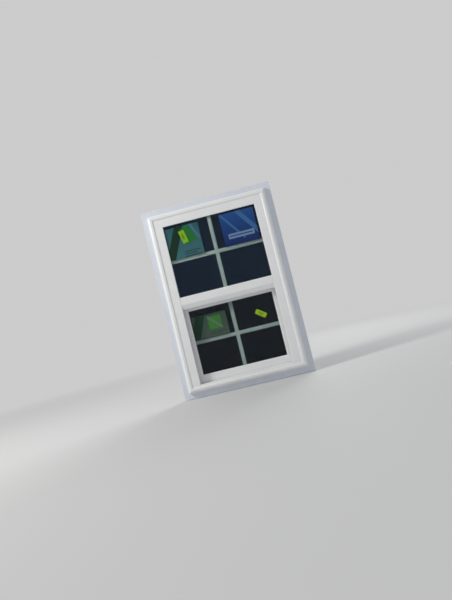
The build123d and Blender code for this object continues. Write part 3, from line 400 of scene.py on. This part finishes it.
def soft_rubber(name, colour):
    """Moulded rubber: near black and dull, with a faint bloom."""
    material, tree = new_material(name)
    bloom = ramp(tree, grain(tree, 4 * MM, detail=5.0), 0.4, 0.75)
    shade = blend_colours(tree, bloom, rgba(colour), rgba([c + 0.03 for c in colour]))
    bump = add(tree, "Bump", {"Strength": 0.3, "Distance": 0.05 * MM, "Height": bloom})
    links = {"Base Color": shade, "Roughness": 0.75, "IOR": 1.52, "Normal": bump.outputs["Normal"]}
    finish(tree, add(tree, "BsdfPrincipled", links).outputs[0])
    return material


def patch(tree, centre, size, turn=0.0):
    """Share of 1 inside a rectangle of the pane's plane, of size (width, height) and turned in degrees."""
    place = add(tree, "TexCoord").outputs["Object"]
    spot = (centre[0], 0, centre[1])
    links = {"Vector": place, "Location": spot, "Rotation": (0, -math.radians(turn), 0)}
    local = add(tree, "Mapping", links, vector_type="TEXTURE").outputs["Vector"]
    across = add(tree, "VectorMath", {0: local}, operation="ABSOLUTE").outputs["Vector"]
    axes = add(tree, "SeparateXYZ", {"Vector": across}).outputs
    inside_x = compute(tree, "LESS_THAN", axes["X"], size[0] / 2)
    inside_z = compute(tree, "LESS_THAN", axes["Z"], size[1] / 2)
    return compute(tree, "MULTIPLY", inside_x, inside_z)


def printed_film(name, foot, head, shapes, node):
    """Printed polyethylene film on the glass: glossy, with slight creases.

    The ground runs from the foot's colour to the head's. Each shape is a rectangle: its colour, how far it
    lies across and up from the film's middle, its width and height in millimetres, and its turn in degrees.
    """
    low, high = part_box(node)
    middle = ((low.x + high.x) / 2, (low.z + high.z) / 2)
    material, tree = new_material(name)
    place = add(tree, "TexCoord").outputs["Object"]
    rise = ramp(tree, add(tree, "SeparateXYZ", {"Vector": place}).outputs["Z"], low.z, high.z)
    ink = blend_colours(tree, rise, rgba(linear(foot)), rgba(linear(head)))
    for tint, x, z, width, height, turn in shapes:
        spot = (middle[0] + x * MM, middle[1] + z * MM)
        share = patch(tree, spot, (width * MM, height * MM), turn)
        ink = blend_colours(tree, share, ink, rgba(linear(tint)))
    # Thin grime over the print
    grime = ramp(tree, grain(tree, 40 * MM, detail=4.0), 0.35, 0.75, 0.0, 0.16)
    ink = blend_colours(tree, grime, ink, rgba(linear("#39444A")))
    creases = grain(tree, 22 * MM, (1, 1, 0.4), 3.0)
    bump = add(tree, "Bump", {"Strength": 0.35, "Distance": 0.4 * MM, "Height": creases})
    gloss = ramp(tree, creases, 0.3, 0.7, 0.3, 0.45)
    film = add(tree, "BsdfPrincipled", {
        "Base Color": ink,
        "Roughness": gloss,
        "Specular IOR Level": 0.2,
        "Normal": bump.outputs["Normal"],
    })
    finish(tree, film.outputs[0])
    wear(material, node)


def print_rows(tint, x, z, width, pitch, count, height=5.0):
    """Rows of plain bars that stand for small print."""
    lengths = [width * (1 - (i % 2) * 0.24) for i in range(count)]
    return [(tint, x - (width - lengths[i]) / 2, z - i * pitch, lengths[i], height, 0) for i in range(count)]


class SASHWINDOW_OT_vinyl(bpy.types.Operator):
    """Dress the vinyl of the frame, the sash and their glazing beads"""

    bl_idname = "sash_window.vinyl"
    bl_label = "Dress the vinyl"

    def execute(self, context):
        colour = context.scene.window_colours.vinyl
        upright = extruded_vinyl("rigid_vinyl_upright", colour, True, 0.36)
        level = extruded_vinyl("rigid_vinyl_level", colour, False, 0.36)
        wear(upright, *pair("frame_jamb"), *pair("sash_stile"))
        wear(level, "frame_head", "frame_sill", "meeting_rail", "sash_top_rail", "sash_bottom_rail")
        for light in ("upper", "lower"):
            wear(upright, *pair(light + "_bead"))
            wear(level, light + "_bead_foot", light + "_bead_head")
        return {"FINISHED"}


class SASHWINDOW_OT_trim(bpy.types.Operator):
    """Dress the J-channel trim round the frame"""

    bl_idname = "sash_window.trim"
    bl_label = "Dress the trim"

    def execute(self, context):
        colour = context.scene.window_colours.trim
        # The trim colour carries painted shade: a blue-grey cast over the white vinyl
        wear(extruded_vinyl("trim_vinyl_painted_shade_upright", colour, True, 0.44), *pair("trim_side"))
        wear(extruded_vinyl("trim_vinyl_painted_shade_level", colour, False, 0.44), "trim_head", "trim_sill")
        return {"FINISHED"}


class SASHWINDOW_OT_glass(bpy.types.Operator):
    """Dress the panes, the spacers, the grilles and the setting blocks"""

    bl_idname = "sash_window.glass"
    bl_label = "Dress the glass"

    def execute(self, context):
        colours = context.scene.window_colours
        outer = float_glass("clear_float_glass", colours.outer_glass, 0.05)
        # Dark inner-pane colours: painted shade of the unlit room, and in the upper pane a painted blue sky
        # reflection
        room = {"upper": colours.upper_pane_painted_shade_and_reflection, "lower": colours.lower_pane_painted_shade}
        # Grey-green grille colour: painted shade over white paint
        grille = coated_metal("enamelled_aluminium_painted_shade", colours.grille, 0.0, 0.4)
        spacer = coated_metal("mill_aluminium", colours.spacer, 1.0, 0.42, (1, 0.05, 1), 0.8 * MM)
        block = soft_rubber("setting_rubber", colours.rubber)
        for light in ("upper", "lower"):
            wear(outer, light + "_glass_outer")
            wear(float_glass("float_glass_painted_shade_" + light, room[light], 0.03), light + "_glass_inner")
            wear(grille, light + "_grille")
            wear(spacer, light + "_spacer")
            wear(block, light + "_setting_blocks")
        return {"FINISHED"}


class SASHWINDOW_OT_catches(bpy.types.Operator):
    """Dress the sash lock, its keeper and the tilt latches"""

    bl_idname = "sash_window.catches"
    bl_label = "Dress the catches"

    def execute(self, context):
        colours = context.scene.window_colours
        orange_peel = {"texture": 0.9 * MM, "depth": 0.08 * MM}
        paint = coated_metal("powder_coated_zinc", colours.catch, 0.0, 0.38, **orange_peel)
        wear(paint, "lock_cam", "sash_keeper")
        softened("lock_housing", "lower_sash", paint, 0.12 * MM)
        softened("lock_lever", "sash_lock", paint, 0.5 * MM)
        nylon = moulded_nylon("moulded_nylon_white", colours.nylon)
        wear(nylon, *pair("tilt_latch_housing"))
        for side in SIDES:
            softened("tilt_latch_slider" + side, "latch" + side, nylon, 0.3 * MM)
        return {"FINISHED"}


class SASHWINDOW_OT_balances(bpy.types.Operator):
    """Dress the balances and the pivot bars"""

    bl_idname = "sash_window.balances"
    bl_label = "Dress the balances"

    def execute(self, context):
        colours = context.scene.window_colours
        nylon = moulded_nylon("moulded_nylon_grey", colours.shoe)
        wear(nylon, *pair("balance_shoe"), *pair("coil_housing"), *pair("pivot_cam"))
        steel = coated_metal("spring_steel", colours.steel, 1.0, 0.28, (1, 1, 0.02), 0.6 * MM)
        wear(steel, *pair("coil_roll"), *pair("coil_ribbon"))
        wear(coated_metal("zinc_plate", colours.zinc, 1.0, 0.4, texture=1.2 * MM), *pair("pivot_bar"))
        return {"FINISHED"}


class SASHWINDOW_OT_screws(bpy.types.Operator):
    """Model the pan-head screws of the keeper, the balances, the lock and the tilt latches"""

    bl_idname = "sash_window.screws"
    bl_label = "Model the screws"

    def execute(self, context):
        sizes = context.scene.screw_sizes
        colour = context.scene.window_colours.steel
        steel = coated_metal("zinc_plated_steel", colour, 1.0, 0.3, depth=0.01 * MM)
        for name, body in (("frame_screws", "frame"), ("sash_screws", "lower_sash")):
            pattern = self.screw(sizes)
            pattern.data.materials.append(steel)
            copies = [self.driven(pattern, low, high) for low, high in loose_boxes(name)]
            bpy.data.objects.remove(pattern)
            select_only(*copies)
            bpy.ops.object.join()
            piece = context.object
            piece.name = name + "_pan_head"
            bpy.ops.object.shade_smooth_by_angle(angle=SMOOTH_ANGLE)
            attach(piece, body)
            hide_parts(name)
        return {"FINISHED"}

    def screw(self, sizes):
        """Screw that points down, with the underside of its head at the origin."""
        middle = (0, 0, sizes.head_height / 2)
        bpy.ops.mesh.primitive_cylinder_add(
            vertices=HEAD_SIDES, radius=sizes.head_radius, depth=sizes.head_height, location=middle
        )
        piece = bpy.context.object
        bpy.ops.object.transform_apply(location=True, rotation=True, scale=True)
        # Crown along the head's upper edge
        self.pick_face(piece, 1)
        bpy.ops.mesh.region_to_loop()
        bpy.ops.mesh.bevel(offset=sizes.crown, segments=CROWN_STEPS, profile=0.5, affect="EDGES")
        bpy.ops.object.mode_set(mode="OBJECT")
        # Shank and tapered tip out of the head's underside
        self.pick_face(piece, -1)
        bpy.ops.mesh.inset(thickness=sizes.head_radius - sizes.shank_radius)
        bpy.ops.mesh.extrude_region_move(TRANSFORM_OT_translate={"value": (0, 0, -2 * sizes.tip)})
        bpy.ops.mesh.extrude_region_move(TRANSFORM_OT_translate={"value": (0, 0, -sizes.tip)})
        bpy.ops.transform.resize(value=(TIP_TAPER, TIP_TAPER, 1))
        bpy.ops.object.mode_set(mode="OBJECT")
        # Cross recess
        for turn in (0, 90):
            cutter = self.slot_cutter(sizes, turn)
            apply_modifier(piece, "BOOLEAN", operation="DIFFERENCE", solver="EXACT", object=cutter)
            bpy.data.objects.remove(cutter)
        return piece

    def pick_face(self, piece, side):
        """Opens edit mode with only the face at the top (side 1) or at the bottom (side -1) selected."""
        select_only(piece)
        bpy.ops.object.mode_set(mode="EDIT")
        bpy.ops.mesh.select_mode(type="FACE")
        bpy.ops.mesh.select_all(action="DESELECT")
        bpy.ops.object.mode_set(mode="OBJECT")
        faces = [face for face in piece.data.polygons if face.normal.z * side > 0.99]
        max(faces, key=lambda face: face.center.z * side).select = True
        bpy.ops.object.mode_set(mode="EDIT")

    def slot_cutter(self, sizes, turn):
        """Tapered block that cuts one slot of the cross recess."""
        bpy.ops.mesh.primitive_cube_add(size=1, location=(0, 0, sizes.head_height))
        cutter = bpy.context.object
        cutter.scale = (sizes.recess_reach, sizes.recess_width, 2 * sizes.recess_depth)
        cutter.rotation_euler.z = math.radians(turn)
        bpy.ops.object.transform_apply(location=True, rotation=True, scale=True)
        self.pick_face(cutter, -1)
        bpy.ops.transform.resize(value=(RECESS_TAPER, RECESS_TAPER, 1))
        bpy.ops.object.mode_set(mode="OBJECT")
        return cutter

    def driven(self, pattern, low, high):
        """Copy of the pattern in the box of one CAD screw, with its shank drawn out to the box's length."""
        span = high - low
        across = span.x > span.z
        whole = span.x if across else span.z
        copy = bpy.data.objects.new("screw", pattern.data.copy())
        bpy.context.collection.objects.link(copy)
        tip = min(vertex.co.z for vertex in copy.data.vertices)
        top = max(vertex.co.z for vertex in copy.data.vertices)
        # The lower end of the shank and the tip move down together
        for vertex in copy.data.vertices:
            if vertex.co.z < tip / 3:
                vertex.co.z -= whole - (top - tip)
        if across:
            # The head of a balance screw looks at the middle of the window
            side = 1 if low.x > 0 else -1
            copy.rotation_euler.y = -side * math.radians(90)
            head = low.x if side > 0 else high.x
            copy.location = (head + side * top, (low.y + high.y) / 2, (low.z + high.z) / 2)
        else:
            copy.location = ((low.x + high.x) / 2, (low.y + high.y) / 2, high.z - top)
        select_only(copy)
        bpy.ops.object.transform_apply(location=True, rotation=True, scale=True)
        return copy


class SASHWINDOW_OT_seals(bpy.types.Operator):
    """Dress the pile seals"""

    bl_idname = "sash_window.seals"
    bl_label = "Dress the seals"

    def execute(self, context):
        wear(woven_pile("woven_pile", context.scene.window_colours.pile), "rail_seal", "sash_seals")
        return {"FINISHED"}


class SASHWINDOW_OT_labels(bpy.types.Operator):
    """Print the film labels and the tags with plain fields of colour"""

    bl_idname = "sash_window.labels"
    bl_label = "Print the labels"

    def execute(self, context):
        # The three labels' colours are written darker than their print: painted shade over the films
        # Left label above: a green field cut by a dark slanting stripe, with rows of small print below
        left = [
            ("#0A2C1A", -44, 14, 42, 200, -24),
            ("#1F6E2A", 22, 30, 54, 84, 24),
            ("#45717A", 60, 44, 12, 90, 24),
            *print_rows("#1D3D40", 30, -52, 84, 12, 3),
        ]
        printed_film("green_film", "#3B6B72", "#285860", left, "upper_label_left")
        # Right label above: two slanting stripes over a blue field, with a pale band across its foot
        right = [
            ("#386596", 46, 26, 22, 240, 36),
            ("#386596", -52, 40, 10, 240, 36),
            ("#6C88AA", 4, -36, 132, 26, 0),
            ("#12357A", 4, -36, 118, 5, 0),
        ]
        printed_film("blue_film", "#09245E", "#1D4B8A", right, "upper_label_right")
        # Label below: a green square with a pale stripe, beside a dark slanting stripe that is a painted
        # shadow over the label's left part
        lower = [
            ("#163722", -66, 0, 46, 160, -22),
            ("#3B7A33", 26, 12, 66, 66, 0),
            ("#5E7467", 26, 12, 10, 96, 45),
            *print_rows("#34423B", 34, -38, 80, 9, 2, 4),
        ]
        printed_film("green_film_lower", "#44584C", "#394D41", lower, "lower_label")
        # Tags: a bright field with two rows of small print, turned as each tag is
        bars = [("#3F5A14", 0, 4, 3.5, 34, 12), ("#3F5A14", -5, 0, 2.5, 26, 12)]
        printed_film("yellow_tag_upper", "#7DB316", "#86BC1B", bars, "upper_tag")
        bars = [("#3F5A14", 0, 3, 34, 3.5, -36), ("#3F5A14", -2, -4, 22, 2.5, -36)]
        printed_film("yellow_tag_lower", "#A3C81C", "#A3C81C", bars, "lower_tag")
        return {"FINISHED"}


class SASHWINDOW_OT_studio(bpy.types.Operator):
    """Set up the floor, the light and the camera"""

    bl_idname = "sash_window.studio"
    bl_label = "Set up the studio"

    def execute(self, context):
        sizes = context.scene.studio_sizes
        self.floor(sizes)
        self.world(sizes)
        self.lamp("key_lamp", KEY_BOX, sizes.key, "#FFFDF9")
        self.lamp("fill_lamp", FILL_BOX, sizes.fill, "#DCE8FF")
        self.lamp("rear_lamp", REAR_BOX, sizes.rear, "#FFFFFF")
        bpy.ops.object.camera_add(location=CAMERA_PLACE)
        camera = bpy.context.object
        camera.name = "camera"
        camera.rotation_euler = [math.radians(turn) for turn in CAMERA_TURNS]
        camera.data.lens = sizes.lens
        context.scene.camera = camera
        context.scene.view_settings.view_transform = "Standard"
        return {"FINISHED"}

    def floor(self, sizes):
        """Pale floor that fades into the background with distance."""
        bpy.ops.mesh.primitive_circle_add(
            vertices=FLOOR_SIDES,
            radius=FLOOR_REACH,
            fill_type="NGON",
            location=(0, 0, CAD_BOX[0].z - sizes.drop),
        )
        piece = bpy.context.object
        piece.name = "studio_floor"
        bpy.ops.object.transform_apply(location=True, rotation=True, scale=True)
        material, tree = new_material("painted_floor")
        place = add(tree, "TexCoord").outputs["Object"]
        away = add(tree, "VectorMath", {0: place}, operation="LENGTH").outputs["Value"]
        fade = ramp(tree, away, FADE_START, FADE_END)
        matt = add(tree, "BsdfPrincipled", {"Base Color": rgba(sizes.floor), "Roughness": 0.85})
        glow = add(tree, "Emission", {"Color": (1, 1, 1, 1), "Strength": sizes.background})
        finish(tree, add(tree, "MixShader", {0: fade, 1: matt.outputs[0], 2: glow.outputs[0]}).outputs[0])
        piece.data.materials.append(material)

    def world(self, sizes):
        """Even light from all round, and a pale background past the window and in its gloss."""
        world = bpy.data.worlds.new("studio")
        bpy.context.scene.world = world
        world.use_nodes = True
        tree = world.node_tree
        tree.nodes.clear()
        path = add(tree, "LightPath").outputs
        seen = compute(tree, "MAXIMUM", path["Is Camera Ray"], path["Is Glossy Ray"])
        seen = compute(tree, "MAXIMUM", seen, path["Is Transmission Ray"])
        light = add(tree, "Background", {"Color": (1, 1, 1, 1), "Strength": sizes.ambient})
        plain = add(tree, "Background", {"Color": (1, 1, 1, 1), "Strength": sizes.background})
        shader = add(tree, "MixShader", {0: seen, 1: light.outputs[0], 2: plain.outputs[0]})
        add(tree, "OutputWorld", {"Surface": shader.outputs[0]})

    def lamp(self, name, soft_box, power, tint):
        """Square soft box aimed at the middle of the window."""
        place, width = soft_box
        bpy.ops.object.light_add(type="AREA", location=place)
        lamp = bpy.context.object
        lamp.name = name
        lamp.data.size = width
        lamp.data.energy = power
        lamp.data.color = linear(tint)
        lamp.rotation_euler = (-Vector(place)).to_track_quat("-Z", "Y").to_euler()


class SASHWINDOW_PT_panel(bpy.types.Panel):
    """Sidebar panel with the window's steps"""

    bl_label = "Sash Window"
    bl_idname = "SASHWINDOW_PT_panel"
    bl_space_type = "VIEW_3D"
    bl_region_type = "UI"
    bl_category = "Sash Window"

    def draw(self, context):
        for step in STEPS:
            self.layout.operator(step.bl_idname)


STEPS = (
    SASHWINDOW_OT_vinyl,
    SASHWINDOW_OT_trim,
    SASHWINDOW_OT_glass,
    SASHWINDOW_OT_catches,
    SASHWINDOW_OT_balances,
    SASHWINDOW_OT_screws,
    SASHWINDOW_OT_seals,
    SASHWINDOW_OT_labels,
    SASHWINDOW_OT_studio,
)
CLASSES = (WindowColours, ScrewSizes, StudioSizes, *STEPS, SASHWINDOW_PT_panel)


def register():
    """Registers the classes and hangs the settings on the scene."""
    for item in CLASSES:
        bpy.utils.register_class(item)
    bpy.types.Scene.window_colours = bpy.props.PointerProperty(type=WindowColours)
    bpy.types.Scene.screw_sizes = bpy.props.PointerProperty(type=ScrewSizes)
    bpy.types.Scene.studio_sizes = bpy.props.PointerProperty(type=StudioSizes)


def unregister():
    """Takes the settings and the classes away again."""
    del bpy.types.Scene.studio_sizes
    del bpy.types.Scene.screw_sizes
    del bpy.types.Scene.window_colours
    for item in reversed(CLASSES):
        bpy.utils.unregister_class(item)


def main():
    """Runs every step in order."""
    register()
    bpy.ops.object.select_all(action="DESELECT")
    bpy.ops.sash_window.vinyl()
    bpy.ops.sash_window.trim()
    bpy.ops.sash_window.glass()
    bpy.ops.sash_window.catches()
    bpy.ops.sash_window.balances()
    bpy.ops.sash_window.screws()
    bpy.ops.sash_window.seals()
    bpy.ops.sash_window.labels()
    bpy.ops.sash_window.studio()


if __name__ == "__main__":
    main()
